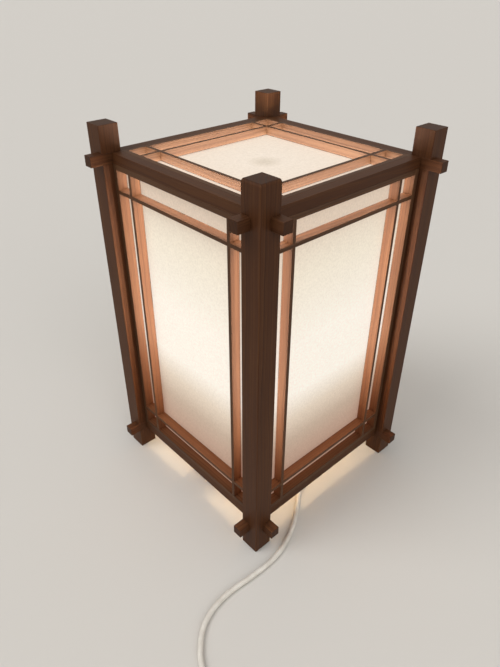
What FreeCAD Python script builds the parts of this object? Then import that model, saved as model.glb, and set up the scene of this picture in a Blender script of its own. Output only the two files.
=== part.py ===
import FreeCAD
import Part
import math
import os
from FreeCAD import Vector

# An andon, a square standing lantern: four posts, eight beams that cross and run past the posts,
# five screens of thin half-lapped bars with paper behind them, and a lamp on a bar across the foot.
# Millimetres, +Z up. The origin is the middle of the footprint, on the floor.
# The front post stands at +X, -Y, between the front left face (-Y) and the front right face (+X).

# Driving dimensions of the frame
body_width = 273.0  # over the outer faces of two posts
post_height = 465.0
post_width = 24.0
beam_size = 12.0  # beams are square
beam_overhang = 14.5  # a beam's end past the post's outer face
foot_height = 30.0  # floor to the lower beams
head_height = 30.0  # upper beams to the top of the posts
edge_ease = 0.8  # planed off every edge of the posts and beams
worn_round = 3.0  # the front post's two outer top edges, which are worn round

# Driving dimensions of the screens
strip_width = 6.0
bar_width = 3.0
bar_offset = 25.0  # from a strip's inner edge to the middle of the bar beside it
paper_thickness = 0.3
paper_margin = 1.0  # from a screen's outer edge to the paper's edge
strip_tenon = 3.0  # length of the tenons that join the strips
strip_tenon_thickness = 4.0
bar_tenon = 2.0  # length of the tenons on the bars
bar_tenon_thickness = 6.0

# Driving dimensions of the lamp's support
cross_bar_width = 44.0
cross_bar_tenon_length = 7.0
cross_bar_tenon_width = 32.0
cross_bar_tenon_thickness = 6.0
riser_height = 45.0
riser_lead_bore = 24.0  # diameter
riser_lead_height = 6.0  # from the cross bar's top to the middle of the cord's hole

# Driving dimensions of the cord
cord_diameter = 6.0
cord_sides = 10  # flats round a cord's tube
coil_gap = 0.75  # between turns that lie beside or on each other
coil_outer_radius = 44.0  # at the middle of the outermost turn
coil_dip = 1.1  # how far the innermost half turn draws in as it climbs
coil_low_turns = 3.0
coil_high_turns = 2.75

# Shared clearances
overrun = 1.0  # how far a cut runs past what it cuts
press_gap = 0.05  # round a pin or sleeve that stays put
thread_gap = 0.08  # round a cap in its holder or a pin in its bearing
moving_gap = 0.3  # round a piece that moves

# Places that follow from them
outer_half = body_width / 2
inner_half = outer_half - post_width
beam_outer = inner_half + beam_size
low_beam_top = foot_height + beam_size
high_beam_top = post_height - head_height
high_beam_bottom = high_beam_top - beam_size
cord_radius = cord_diameter / 2


def block(low, high):
    """A box from its lowest corner to its highest."""
    return Part.makeBox(high[0] - low[0], high[1] - low[1], high[2] - low[2], Vector(*low))


def turned(outline, axis=Vector(0, 0, 1), base=Vector(0, 0, 0)):
    """A solid turned about an axis through base, from a closed outline of edges."""
    face = Part.Face(Part.Wire(outline))
    return face.revolve(base, axis, 360)


def polyline(points):
    """Edges through the points and back to the first."""
    closed = list(points) + [points[0]]
    return [Part.LineSegment(a, b).toShape() for a, b in zip(closed, closed[1:])]


def spun(points):
    """A solid turned about Z from (radius, height) points."""
    return turned(polyline([Vector(r, 0, z) for r, z in points]))


def quarter_turned(shape, quarters):
    """The shape turned about the lantern's axis by quarter turns."""
    copy = shape.copy()
    copy.rotate(Vector(0, 0, 0), Vector(0, 0, 1), 90 * quarters)
    return copy


def group(shapes):
    return shapes[0] if len(shapes) == 1 else Part.makeCompound(shapes)


def save(shape, name):
    shape.exportStep(f"parts/{name}.step")


# Posts. Each has an L-shaped pocket at the height of each beam, cut in from its inner corner,
# which leaves a quarter of its section standing outside the crossing of two beams.


def corner_pocket(bottom):
    """The two crossing beams' way through the post at +X, +Y."""
    near, far = inner_half - overrun, outer_half + overrun
    along_x = block((near, near, bottom), (far, beam_outer, bottom + beam_size))
    along_y = block((near, near, bottom), (beam_outer, far, bottom + beam_size))
    return along_x.fuse(along_y)


def post(worn):
    """The post at +X, +Y."""
    blank = block((inner_half, inner_half, 0), (outer_half, outer_half, post_height))
    shape = blank.makeChamfer(edge_ease, blank.Edges)
    if worn:
        outer_top = [
            e
            for e in blank.Edges
            if min(v.Z for v in e.Vertexes) > post_height - overrun
            and (
                min(v.X for v in e.Vertexes) > outer_half - overrun
                or min(v.Y for v in e.Vertexes) > outer_half - overrun
            )
        ]
        shape = shape.common(blank.makeFillet(worn_round, outer_top))
    return shape.cut(corner_pocket(foot_height)).cut(corner_pocket(high_beam_bottom))


post_names = ("post_right", "post_back", "post_left", "post_front")  # each a quarter turn on


def make_posts():
    for quarters, name in enumerate(post_names):
        save(quarter_turned(post(worn=name == "post_front"), quarters), name)


# Beams. Those along X are halved from above where they cross, those along Y from below.
# The two lower beams along X also take the tenons of the cross bar.


def beam_blank(bottom):
    """The beam along X at -Y, before its joints are cut."""
    end = outer_half + beam_overhang
    blank = block((-end, -beam_outer, bottom), (end, -inner_half, bottom + beam_size))
    return blank.makeChamfer(edge_ease, blank.Edges)


def halving(bottom):
    """The notches for the two beams that cross the one along X at -Y, half its height."""
    low = (inner_half, -beam_outer - overrun, bottom)
    high = (beam_outer, -inner_half + overrun, bottom + beam_size / 2)
    notch = block(low, high)
    return notch.fuse(notch.mirror(Vector(0, 0, 0), Vector(1, 0, 0)))


def cross_bar_mortise():
    """The mortise in the lower beam at -Y."""
    half_width = cross_bar_tenon_width / 2
    middle = foot_height + beam_size / 2
    half_height = cross_bar_tenon_thickness / 2
    return block(
        (-half_width, -inner_half - cross_bar_tenon_length, middle - half_height),
        (half_width, -inner_half + overrun, middle + half_height),
    )


face_names = ("front_left", "front_right", "back_right", "back_left")  # each a quarter turn on


def make_beams():
    for level, bottom in (("lower", foot_height), ("upper", high_beam_bottom)):
        for quarters, face in enumerate(face_names):
            along_x = quarters % 2 == 0
            shape = beam_blank(bottom).cut(halving(bottom + beam_size / 2 if along_x else bottom))
            if along_x and level == "lower":
                shape = shape.cut(cross_bar_mortise())
            save(quarter_turned(shape, quarters), f"{level}_beam_{face}")


# Screens. A screen is drawn lying flat: X across, Y along its height, its face up at Z = 0 and its
# back at Z = -beam_size, as deep as the beams that it stands between. Then it is stood in its frame.


def place_for_strip_tenon(x, y, sign):
    """The tenon of a rail into the stile at x, centred on the rail's width from y to y + strip_width."""
    middle = -beam_size / 2
    half = strip_tenon_thickness / 2
    start, end = sorted((x, x + sign * strip_tenon))
    return block((start, y, middle - half), (end, y + strip_width, middle + half))


def bar_tenon_block(x, y, along_y, sign):
    """The tenon on a bar's end, which starts at the strip's inner edge and runs the way sign says."""
    middle = -beam_size / 2
    half = bar_tenon_thickness / 2
    reach = sign * bar_tenon
    side = bar_width / 2
    if along_y:
        low, high = sorted((y, y + reach))
        return block((x - side, low, middle - half), (x + side, high, middle + half))
    low, high = sorted((x, x + reach))
    return block((low, y - side, middle - half), (high, y + side, middle + half))


def screen(width, height):
    """A flat screen's stiles, rails, uprights, crossbars and paper, as a dictionary of lists."""
    half_w, half_h = width / 2, height / 2
    clear_w, clear_h = half_w - strip_width, half_h - strip_width
    bar_x, bar_y = clear_w - bar_offset, clear_h - bar_offset
    side = bar_width / 2
    back = -beam_size
    lap = -beam_size / 2
    stiles, rails, uprights, crossbars = [], [], [], []
    for sign in (-1, 1):
        x0, x1 = sorted((sign * clear_w, sign * half_w))
        stile = block((x0, -half_h, back), (x1, half_h, 0))
        y0, y1 = sorted((sign * clear_h, sign * half_h))
        rail = block((-clear_w, y0, back), (clear_w, y1, 0))
        for end in (-1, 1):
            rail = rail.fuse(place_for_strip_tenon(end * clear_w, y0, end))
            low_edge = -half_h if end < 0 else clear_h
            stile = stile.cut(place_for_strip_tenon(sign * clear_w, low_edge, sign))
            stile = stile.cut(bar_tenon_block(sign * clear_w, end * bar_y, False, sign))
            rail = rail.cut(bar_tenon_block(end * bar_x, sign * clear_h, True, sign))
        stiles.append(stile)
        rails.append(rail)
        upright = block((sign * bar_x - side, -clear_h, back), (sign * bar_x + side, clear_h, 0))
        crossbar = block((-clear_w, sign * bar_y - side, back), (clear_w, sign * bar_y + side, 0))
        for end in (-1, 1):
            upright = upright.fuse(bar_tenon_block(sign * bar_x, end * clear_h, True, end))
            crossbar = crossbar.fuse(bar_tenon_block(end * clear_w, sign * bar_y, False, end))
            upright = upright.cut(
                block(
                    (sign * bar_x - side - overrun, end * bar_y - side, lap),
                    (sign * bar_x + side + overrun, end * bar_y + side, overrun),
                )
            )
            crossbar = crossbar.cut(
                block(
                    (end * bar_x - side, sign * bar_y - side - overrun, back - overrun),
                    (end * bar_x + side, sign * bar_y + side + overrun, lap),
                )
            )
        uprights.append(upright)
        crossbars.append(crossbar)
    paper = block(
        (-half_w + paper_margin, -half_h + paper_margin, back - paper_thickness),
        (half_w - paper_margin, half_h - paper_margin, back),
    )
    return {
        "stiles": stiles,
        "rails": rails,
        "uprights": uprights,
        "crossbars": crossbars,
        "paper": [paper],
    }


def make_screens():
    width = 2 * inner_half
    upright_height = high_beam_bottom - low_beam_top
    middle = (high_beam_bottom + low_beam_top) / 2
    for quarters, face in enumerate(face_names):
        for piece, solids in screen(width, upright_height).items():
            shape = group(solids)
            shape.rotate(Vector(0, 0, 0), Vector(1, 0, 0), 90)
            shape.translate(Vector(0, -beam_outer, middle))
            save(quarter_turned(shape, quarters), f"{face}_{piece}")
    for piece, solids in screen(width, width).items():
        shape = group(solids)
        shape.translate(Vector(0, 0, high_beam_top))
        save(shape, f"top_{piece}")


# Cross bar and riser. The bar is tenoned into two lower beams and the riser stands on it, held by
# two screws from below. The riser is bored up its middle for the leads, with a hole in from +X.

riser_screw_edge = 5.0  # from the middle of a screw to the riser's side
wood_screw_length = 20.0
wood_screw_diameter = 3.5
wood_screw_head_diameter = 7.0
wood_screw_head_height = 2.2
drive_slot_length = 3.6  # of each arm of the cross in a screw's head
drive_slot_width = 0.9
drive_slot_depth = 1.4

riser_half = cross_bar_width / 2
riser_top = low_beam_top + riser_height
grip_stem_diameter = 10.0
grip_height = low_beam_top + riser_lead_height


def wood_screw():
    """A countersunk screw, point up, with its head's flat face and its cross slot at Z = 0."""
    length = wood_screw_length
    head, shank = wood_screw_head_diameter / 2, wood_screw_diameter / 2
    taper = wood_screw_diameter
    body = spun(
        [
            (0, 0),
            (head, 0),
            (shank, wood_screw_head_height),
            (shank, length - taper),
            (0, length),
        ]
    )
    half_length, half_width = drive_slot_length / 2, drive_slot_width / 2
    slot = block((-half_length, -half_width, -overrun), (half_length, half_width, drive_slot_depth))
    cross = slot.fuse(quarter_turned(slot, 1))
    return body.cut(cross)


def wood_screw_hole():
    """The room that a wood screw takes, with press_gap all round."""
    length = wood_screw_length
    head, shank = wood_screw_head_diameter / 2, wood_screw_diameter / 2
    return spun(
        [
            (0, -overrun),
            (head + press_gap, -overrun),
            (head + press_gap, 0),
            (shank + press_gap, wood_screw_head_height),
            (shank + press_gap, length),
            (0, length),
        ]
    )


def screw_places():
    """Where the screws' heads are and which way they point: 1 is up."""
    holder_top_face = riser_top + holder_foot_height
    diagonal = holder_screw_offset
    from_side = riser_half - riser_screw_edge
    from_below = [(Vector(0, sign * from_side, foot_height), 1) for sign in (-1, 1)]
    from_above = [(Vector(sign * diagonal, sign * diagonal, holder_top_face), -1) for sign in (-1, 1)]
    return from_below + from_above


def at_screw_places(shape):
    """Copies of a screw or of its hole at every place."""
    copies = []
    for place, way in screw_places():
        copy = shape.copy()
        if way < 0:
            copy.rotate(Vector(0, 0, 0), Vector(1, 0, 0), 180)
        copy.translate(place)
        copies.append(copy)
    return copies


def make_support():
    bar = block(
        (-riser_half, -inner_half, foot_height),
        (riser_half, inner_half, low_beam_top),
    )
    half_width = cross_bar_tenon_width / 2
    middle = foot_height + beam_size / 2
    half_height = cross_bar_tenon_thickness / 2
    tenons = block(
        (-half_width, -inner_half - cross_bar_tenon_length, middle - half_height),
        (half_width, inner_half + cross_bar_tenon_length, middle + half_height),
    )
    bar = bar.fuse(tenons)
    riser = block((-riser_half, -riser_half, low_beam_top), (riser_half, riser_half, riser_top))
    upright_edges = [e for e in riser.Edges if abs(e.tangentAt(e.FirstParameter).z) > 0.5]
    riser = riser.makeChamfer(2 * edge_ease, upright_edges)
    bore_bottom = Vector(0, 0, low_beam_top - overrun)
    riser = riser.cut(Part.makeCylinder(riser_lead_bore / 2, riser_height + 2 * overrun, bore_bottom))
    riser = riser.cut(
        Part.makeCylinder(
            grip_stem_diameter / 2 + press_gap,
            riser_half + overrun,
            Vector(0, 0, grip_height),
            Vector(1, 0, 0),
        )
    )
    for hole in at_screw_places(wood_screw_hole()):
        bar = bar.cut(hole)
        riser = riser.cut(hole)
    save(bar, "cross_bar")
    save(riser, "riser")
    save(group(at_screw_places(wood_screw())), "wood_screws")


# Lamp holder. A moulded body with a square foot, a sleeve that the lamp's cap turns in and a
# contact under its tip. Two screws hold its foot to the riser.

holder_foot_height = 7.0
holder_foot_lip = 2.8  # from the body's side to the foot's
holder_corner_round = 5.0
holder_wall = 2.6  # round the mouth
holder_rim_step = 1.2
holder_rim_height = 3.0
holder_floor = 8.0
holder_mouth_depth = 10.0
holder_mouth_gap = 1.2  # round and under the lamp's housing
sleeve_thickness = 0.5
sleeve_foot_radius = 8.8  # of the hole in the sleeve's foot, which lies on the holder's floor
contact_radius = 4.5
contact_height = 3.0

# The lamp's own sizes, which the holder is made round.
cap_radius = 13.2
cap_height = 24.0
tip_height = 2.0
housing_neck_lip = 1.2  # from the cap's side to the housing's neck

holder_bottom = riser_top
holder_floor_top = holder_bottom + holder_floor
tip_bottom = holder_floor_top + contact_height + 2 * thread_gap
cap_bottom = tip_bottom + tip_height
cap_top = cap_bottom + cap_height
mouth_bottom = cap_top - holder_mouth_gap
holder_top = mouth_bottom + holder_mouth_depth
sleeve_inner = cap_radius + thread_gap
sleeve_outer = sleeve_inner + sleeve_thickness
housing_neck_radius = cap_radius + housing_neck_lip
holder_mouth_radius = housing_neck_radius + holder_mouth_gap
holder_body_radius = holder_mouth_radius + holder_wall
holder_rim_radius = holder_body_radius - holder_rim_step
holder_foot_half = holder_body_radius + holder_foot_lip
holder_screw_radius = holder_body_radius + wood_screw_head_diameter / 2 + 2 * press_gap
holder_screw_offset = holder_screw_radius * math.sqrt(0.5)  # each way, on one diagonal


def make_holder():
    half = holder_foot_half
    foot_top = holder_bottom + holder_foot_height
    foot = block((-half, -half, holder_bottom), (half, half, foot_top))
    upright_edges = [e for e in foot.Edges if abs(e.tangentAt(e.FirstParameter).z) > 0.5]
    foot = foot.makeFillet(holder_corner_round, upright_edges)
    rim_bottom = holder_top - holder_rim_height
    body = spun(
        [
            (0, holder_bottom),
            (holder_body_radius, holder_bottom),
            (holder_body_radius, rim_bottom - holder_rim_step),
            (holder_rim_radius, rim_bottom),
            (holder_rim_radius, holder_top),
            (0, holder_top),
        ]
    )
    bore = spun(
        [
            (0, holder_floor_top),
            (sleeve_outer + press_gap, holder_floor_top),
            (sleeve_outer + press_gap, mouth_bottom),
            (holder_mouth_radius, mouth_bottom),
            (holder_mouth_radius, holder_top + overrun),
            (0, holder_top + overrun),
        ]
    )
    holder = foot.fuse(body).cut(bore)
    for x, y in lead_places:
        radius = lead_diameter / 2 + press_gap
        place = Vector(x, y, holder_bottom - overrun)
        holder = holder.cut(Part.makeCylinder(radius, holder_floor + 2 * overrun, place))
    for hole in at_screw_places(wood_screw_hole()):
        holder = holder.cut(hole)
    sleeve = spun(
        [
            (sleeve_foot_radius, holder_floor_top),
            (sleeve_outer, holder_floor_top),
            (sleeve_outer, mouth_bottom),
            (sleeve_inner, mouth_bottom),
            (sleeve_inner, holder_floor_top + sleeve_thickness),
            (sleeve_foot_radius, holder_floor_top + sleeve_thickness),
        ]
    )
    contact = Part.makeCylinder(contact_radius, contact_height, Vector(0, 0, holder_floor_top))
    top = [e for e in contact.Edges if e.Closed and e.Vertexes[0].Z > holder_floor_top + overrun]
    contact = contact.makeFillet(edge_ease, top)
    save(holder, "holder_body")
    save(sleeve, "holder_sleeve")
    save(contact, "holder_contact")


# Leads. Two thin insulated wires from the end of the grip, up the riser's bore and through the
# holder's floor to its contact and its sleeve.

lead_diameter = 1.6
lead_sides = 8  # flats round a lead's tube
lead_spacing = 3.2
lead_bend = 2.8
lead_places = ((3.0, -lead_spacing / 2), (10.0, lead_spacing / 2))


def lead(x, y):
    """A wire that runs in along -X from the grip's end and turns up at x, y."""
    start = Vector(riser_half - grip_stem_length, y, grip_height)
    corner = Vector(x, y, grip_height)
    bend_start = corner + Vector(lead_bend, 0, 0)
    bend_end = corner + Vector(0, 0, lead_bend)
    end = Vector(x, y, holder_floor_top)
    edges = [
        Part.LineSegment(start, bend_start).toShape(),
        arc_in_corner(bend_start, corner, bend_end),
        Part.LineSegment(bend_end, end).toShape(),
    ]
    return tube(edges, start, Vector(-1, 0, 0), lead_diameter / 2, lead_sides)


def make_leads():
    save(group([lead(x, y) for x, y in lead_places]), "holder_leads")


# Lamp. A screw cap with its tip contact, an opaque tapered housing and an opal globe.

tip_radius = 4.6
cap_cone_height = 5.0
cap_cone_radius = 6.0
housing_neck_height = 9.0
housing_height = 46.0
housing_bulge_share = 0.55  # how far up the housing's flare the middle of its curve lies
housing_flare_share = 0.72  # how much of its widening it has there
globe_radius = 30.0
globe_height = 64.0
globe_wall = 1.2
globe_foot_step = 1.4  # how much narrower the globe's foot is than its middle

housing_rim_radius = globe_radius - globe_foot_step
housing_top = cap_top + housing_height
globe_top = housing_top + globe_height


def globe_outline(wall):
    """The globe's half section, from its foot to its crown, drawn in by wall."""
    crown = globe_top - wall
    widest = globe_top - globe_radius
    foot = Vector(housing_rim_radius - wall, 0, housing_top)
    side = Vector(globe_radius - wall, 0, widest)
    halfway = (globe_radius - wall) * math.sqrt(0.5)
    shoulder = Vector(halfway, 0, widest + halfway)
    belly_radius = globe_radius - globe_foot_step / 4
    belly = Vector(belly_radius - wall, 0, (widest + housing_top) / 2)
    return [
        Part.Arc(foot, belly, side).toShape(),
        Part.Arc(side, shoulder, Vector(0, 0, crown)).toShape(),
    ]


def make_lamp():
    tip = spun(
        [
            (0, tip_bottom),
            (tip_radius * 2 / 3, tip_bottom),
            (tip_radius, tip_bottom + tip_height / 2),
            (tip_radius, cap_bottom),
            (0, cap_bottom),
        ]
    )
    cap = spun(
        [
            (0, cap_bottom),
            (cap_cone_radius, cap_bottom),
            (cap_radius, cap_bottom + cap_cone_height),
            (cap_radius, cap_top),
            (0, cap_top),
        ]
    )
    neck_top = cap_top + housing_neck_height
    flare = housing_rim_radius - housing_neck_radius
    bulge = Vector(
        housing_neck_radius + flare * housing_flare_share,
        0,
        neck_top + (housing_top - neck_top) * housing_bulge_share,
    )
    neck, rim = Vector(housing_neck_radius, 0, neck_top), Vector(housing_rim_radius, 0, housing_top)
    housing = turned(
        [
            Part.LineSegment(Vector(0, 0, cap_top), Vector(housing_neck_radius, 0, cap_top)).toShape(),
            Part.LineSegment(Vector(housing_neck_radius, 0, cap_top), neck).toShape(),
            Part.Arc(neck, bulge, rim).toShape(),
            Part.LineSegment(rim, Vector(0, 0, housing_top)).toShape(),
            Part.LineSegment(Vector(0, 0, housing_top), Vector(0, 0, cap_top)).toShape(),
        ]
    )
    outside = globe_outline(0)
    inside = globe_outline(globe_wall)
    crown = Part.LineSegment(Vector(0, 0, globe_top), Vector(0, 0, globe_top - globe_wall)).toShape()
    foot = Part.LineSegment(
        Vector(housing_rim_radius - globe_wall, 0, housing_top), Vector(housing_rim_radius, 0, housing_top)
    ).toShape()
    globe = turned(outside + [crown] + inside[::-1] + [foot])
    save(tip, "bulb_contact")
    save(cap, "bulb_cap")
    save(housing, "bulb_housing")
    save(globe, "bulb_globe")


# Cord. Its free stretches are tubes on straight runs joined by tangent arcs, and the coil is one
# tube on arcs from a spiral that winds in on the floor, climbs and winds out again on top.

arc_share = 0.45  # of the shorter run beside a point, from the point to where its arc starts

# The route from the grip in the riser, down to the floor, out under the front right beam and past
# the front post, to the switch.
cord_route = [
    Vector(44.0, 0.0, 48.0),
    Vector(60.0, 0.0, 48.0),
    Vector(75.0, -2.4, 42.0),
    Vector(86.0, -7.4, 29.8),
    Vector(95.0, -14.4, 17.4),
    Vector(103.8, -23.6, 8.4),
    Vector(113.4, -35.4, 3.8),
    Vector(126.5, -53.0, 3.0),
    Vector(142.5, -75.5, 3.0),
    Vector(158.0, -113.0, 3.0),
    Vector(160.0, -151.0, 3.0),
    Vector(154.0, -204.0, 3.0),
    Vector(163.0, -241.0, 3.0),
    Vector(186.5, -265.0, 3.1),
    Vector(206.5, -275.2, 3.8),
    Vector(222.5, -281.8, 7.0),
    Vector(238.5, -287.6, 7.0),
]
# The route from the switch round to the coil, and from the coil to the plug.
tail_route = [
    Vector(294.9, -308.1, 7.0),
    Vector(311.8, -314.3, 7.0),
    Vector(324.3, -327.2, 5.9),
    Vector(331.4, -349.1, 4.5),
    Vector(328.2, -371.9, 3.85),
]


def arc_in_corner(start, corner, end):
    """The arc that leaves start towards corner and comes from corner into end, as far from both."""
    half_turn = (corner - start).getAngle(end - corner) / 2
    chord_middle = (start + end) * 0.5
    pull = math.cos(half_turn) / (1 + math.cos(half_turn))
    return Part.Arc(start, chord_middle + (corner - chord_middle) * pull, end).toShape()


def tube(edges, start, direction, radius, sides):
    """A tube along a chain of edges, with flats whose corners lie on its circle."""
    circle = Part.Circle(start, direction, radius).toShape()
    corners = circle.discretize(sides + 1)[:-1]
    return Part.Wire(edges).makePipeShell([Part.Wire(polyline(corners))], True, False)


def report_tube(name, shape, edges):
    length = sum(e.Length for e in edges)
    section = cord_sides * cord_radius**2 * math.sin(2 * math.pi / cord_sides) / 2
    share = shape.Volume / (section * length)
    print(f"{name}: length {length:.1f} mm, volume {share:.5f} of section times length")


def free_stretch(name, route):
    """The tube along a route, with the radius of each of its arcs printed."""
    edges, radii, at = [], [], route[0]
    for before, corner, after in zip(route, route[1:], route[2:]):
        reach = arc_share * min((corner - before).Length, (after - corner).Length)
        start = corner - (corner - before).normalize() * reach
        end = corner + (after - corner).normalize() * reach
        edges.append(Part.LineSegment(at, start).toShape())
        edges.append(arc_in_corner(start, corner, end))
        radii.append(reach / math.tan((corner - before).getAngle(after - corner) / 2))
        at = end
    edges.append(Part.LineSegment(at, route[-1]).toShape())
    shape = tube(edges, route[0], route[1] - route[0], cord_radius, cord_sides)
    report_tube(name, shape, edges)
    print("  radii " + " ".join(f"{r:.0f}" for r in radii))
    return shape


tie_thickness = 0.6
tie_width = 8.0
tie_gap = 0.1
coil_pitch = cord_diameter + coil_gap
coil_low_height = cord_radius + tie_thickness + tie_gap
coil_inner_radius = coil_outer_radius - coil_pitch * coil_low_turns
coil_turns = coil_low_turns + 0.5 + coil_high_turns
coil_start_angle = math.radians(-8.0)
coil_spans_a_turn = 4


def coil_centre():
    """The coil's middle, from where the tail comes in square to its radius."""
    out = Vector(math.cos(coil_start_angle), math.sin(coil_start_angle), 0)
    end = tail_route[-1]
    heading = Vector(math.sin(coil_start_angle), -math.cos(coil_start_angle), 0)
    start = end + heading * cord_diameter
    middle = start - out * coil_outer_radius
    return Vector(middle.x, middle.y, 0)


def coil_point(turns):
    """A point on the middle line of the coil, turns from its start."""
    climb = min(max((turns - coil_low_turns) / 0.5, 0), 1)
    if turns < coil_low_turns:
        radius = coil_outer_radius - coil_pitch * turns
    elif climb < 1:
        radius = coil_inner_radius - coil_dip * math.sin(math.pi * climb)
    else:
        radius = coil_inner_radius + coil_pitch * (turns - coil_low_turns - 0.5)
    angle = coil_start_angle - 2 * math.pi * turns
    height = coil_low_height + coil_pitch * climb**2 * (3 - 2 * climb)
    return coil_centre() + Vector(radius * math.cos(angle), radius * math.sin(angle), height)


def coil_heading(turns):
    """The way the cord runs there: level and square to the radius at the ends."""
    step = 0.02
    if turns <= 0 or turns >= coil_turns:
        angle = coil_start_angle - 2 * math.pi * turns
        return Vector(math.sin(angle), -math.cos(angle), 0)
    return (coil_point(turns + step) - coil_point(turns - step)).normalize()


def biarc(start, start_way, end, end_way):
    """Two arcs from start to end that leave and arrive the given ways."""
    across = end - start
    both = start_way + end_way
    along = across.dot(both)
    square = across.dot(across)
    leg = square / (along + math.sqrt(along**2 + (4 - both.dot(both)) * square))
    first, second = start + start_way * leg, end - end_way * leg
    joint = (first + second) * 0.5
    return [arc_in_corner(start, first, joint), arc_in_corner(joint, second, end)]


def report_gap(edges):
    """Prints the least gap between turns, measured on points along the middle line."""
    spacing = cord_diameter / 4
    points = []
    for edge in edges:
        points += edge.discretize(Distance=spacing)[:-1]
    half_turn = int(math.pi * coil_inner_radius / spacing)
    least = min(
        (points[i] - points[j]).Length
        for i in range(len(points))
        for j in range(i + half_turn, len(points))
    )
    print(f"cord_coil: least gap between turns {least - cord_diameter:.2f} mm")


def make_coil():
    spans = int(round(coil_turns * coil_spans_a_turn))
    stops = [coil_turns * k / spans for k in range(spans + 1)]
    start, end = coil_point(0), coil_point(coil_turns)
    first_way, last_way = coil_heading(0), coil_heading(coil_turns)
    lead_in = start - first_way * cord_diameter
    lead_out = end + last_way * cord_diameter
    edges = [Part.LineSegment(lead_in, start).toShape()]
    for a, b in zip(stops, stops[1:]):
        edges += biarc(coil_point(a), coil_heading(a), coil_point(b), coil_heading(b))
    edges.append(Part.LineSegment(end, lead_out).toShape())
    shape = tube(edges, lead_in, first_way, cord_radius, cord_sides)
    report_tube("cord_coil", shape, edges)
    report_gap(edges)
    save(shape, "cord_coil")
    return lead_out, last_way


# Tie. A flat band round all the turns at one side of the coil, with a short overlap on top.

tie_angle = math.radians(160.0)
tie_corner = 3.0
tie_overlap = 12.0


def rounded_slot(width, height, corner, depth):
    """A block with rounded long edges: X across, Z up from 0, centred along Y."""
    shape = block((-width / 2, -depth / 2, 0), (width / 2, depth / 2, height))
    along = [e for e in shape.Edges if abs(e.tangentAt(e.FirstParameter).y) > 0.5]
    return shape.makeFillet(corner, along)


def make_tie():
    inner = coil_inner_radius - coil_dip - cord_radius - coil_gap
    outer = coil_outer_radius + cord_radius + coil_gap
    width = outer - inner
    height = 2 * cord_diameter + coil_gap + 2 * tie_gap
    grown = 2 * tie_thickness
    band = rounded_slot(width + grown, height + grown, tie_corner + tie_thickness, tie_width)
    hole = rounded_slot(width, height, tie_corner, tie_width + 2 * overrun)
    hole.translate(Vector(0, 0, tie_thickness))
    flap = block(
        (-tie_overlap / 2, -tie_width / 2, height + grown),
        (tie_overlap / 2, tie_width / 2, height + grown + tie_thickness),
    )
    shape = band.cut(hole).fuse(flap)
    shape.translate(Vector((inner + outer) / 2, 0, 0))
    shape.rotate(Vector(0, 0, 0), Vector(0, 0, 1), math.degrees(tie_angle))
    shape.translate(coil_centre())
    save(shape, "coil_tie")


# Grip. The tapered strain relief in the riser's side, where the cord comes out. Ring grooves let it
# bend with the cord.

relief_groove_width = 1.4
relief_groove_depth = 0.9
relief_groove_spacing = 5.5  # at most, from groove to groove
grip_stem_length = 9.0
grip_flange_diameter = 14.0
grip_flange_thickness = 2.0
grip_nose_diameter = 8.4
grip_neck_diameter = 11.0


def relief_side(start, start_radius, end, end_radius):
    """(place, radius) points along a relief's side, with its grooves evenly spaced."""
    points = [(start, start_radius)]
    stretches = math.ceil((end - start) / relief_groove_spacing)
    pitch = (end - start) / stretches
    taper = (end_radius - start_radius) / (end - start)
    for k in range(1, stretches):
        middle = start + pitch * k
        near, far = middle - relief_groove_width / 2, middle + relief_groove_width / 2
        floor = start_radius + taper * (middle - start) - relief_groove_depth
        points.append((near, start_radius + taper * (near - start)))
        points += [(near, floor), (far, floor)]
        points.append((far, start_radius + taper * (far - start)))
    return points + [(end, end_radius)]


def make_grip():
    face = riser_half
    end = cord_route[0].x
    flange = face + grip_flange_thickness
    stem = grip_stem_diameter / 2
    outline = [
        (face - grip_stem_length, 0),
        (face - grip_stem_length, stem),
        (face, stem),
        (face, grip_flange_diameter / 2),
        (flange, grip_flange_diameter / 2),
    ]
    outline += relief_side(flange, grip_neck_diameter / 2, end, grip_nose_diameter / 2)
    outline.append((end, 0))
    edges = polyline([Vector(x, 0, grip_height + radius) for x, radius in outline])
    save(turned(edges, Vector(1, 0, 0), Vector(0, 0, grip_height)), "cord_grip")


# Switch. Two shells, split at the height of the cord, that taper to a nose at each end, and a
# rocker that tips on two pins in the upper shell. It is drawn along X and then turned to the cord.

switch_length = 60.0
switch_width = 25.0
switch_nose_width = 10.0
switch_middle_length = 34.0
switch_height = 18.0
switch_wall = 1.8
switch_edge_round = 2.0
window_length = 20.0
window_width = 13.0
rocker_tilt = 8.0  # degrees each way from level
rocker_height = 7.0
rocker_rise = 3.0  # of its ends above the shell when level
rocker_pin_radius = 1.3
rocker_pin_length = 1.5
bearing_thickness = 3.0

switch_split = cord_route[-1].z
switch_angle = math.degrees(
    math.atan2(cord_route[-1].y - cord_route[-2].y, cord_route[-1].x - cord_route[-2].x)
)
switch_centre = Vector(
    (cord_route[-1].x + tail_route[0].x) / 2, (cord_route[-1].y + tail_route[0].y) / 2, 0
)
rocker_pivot_height = switch_height - switch_wall - rocker_pin_radius - 2 * moving_gap


def switch_outline(inset):
    """Half the shell's outline in plan, as points, drawn in by inset."""
    nose, side = switch_nose_width / 2 - inset, switch_width / 2 - inset
    middle, end = switch_middle_length / 2 - inset / 2, switch_length / 2 - inset
    return [(end, nose), (middle, side), (-middle, side), (-end, nose)]


def switch_block(inset, bottom, top):
    half = switch_outline(inset)
    points = half + [(x, -y) for x, y in reversed(half)]
    face = Part.Face(Part.Wire(polyline([Vector(x, y, bottom) for x, y in points])))
    return face.extrude(Vector(0, 0, top - bottom))


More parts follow.
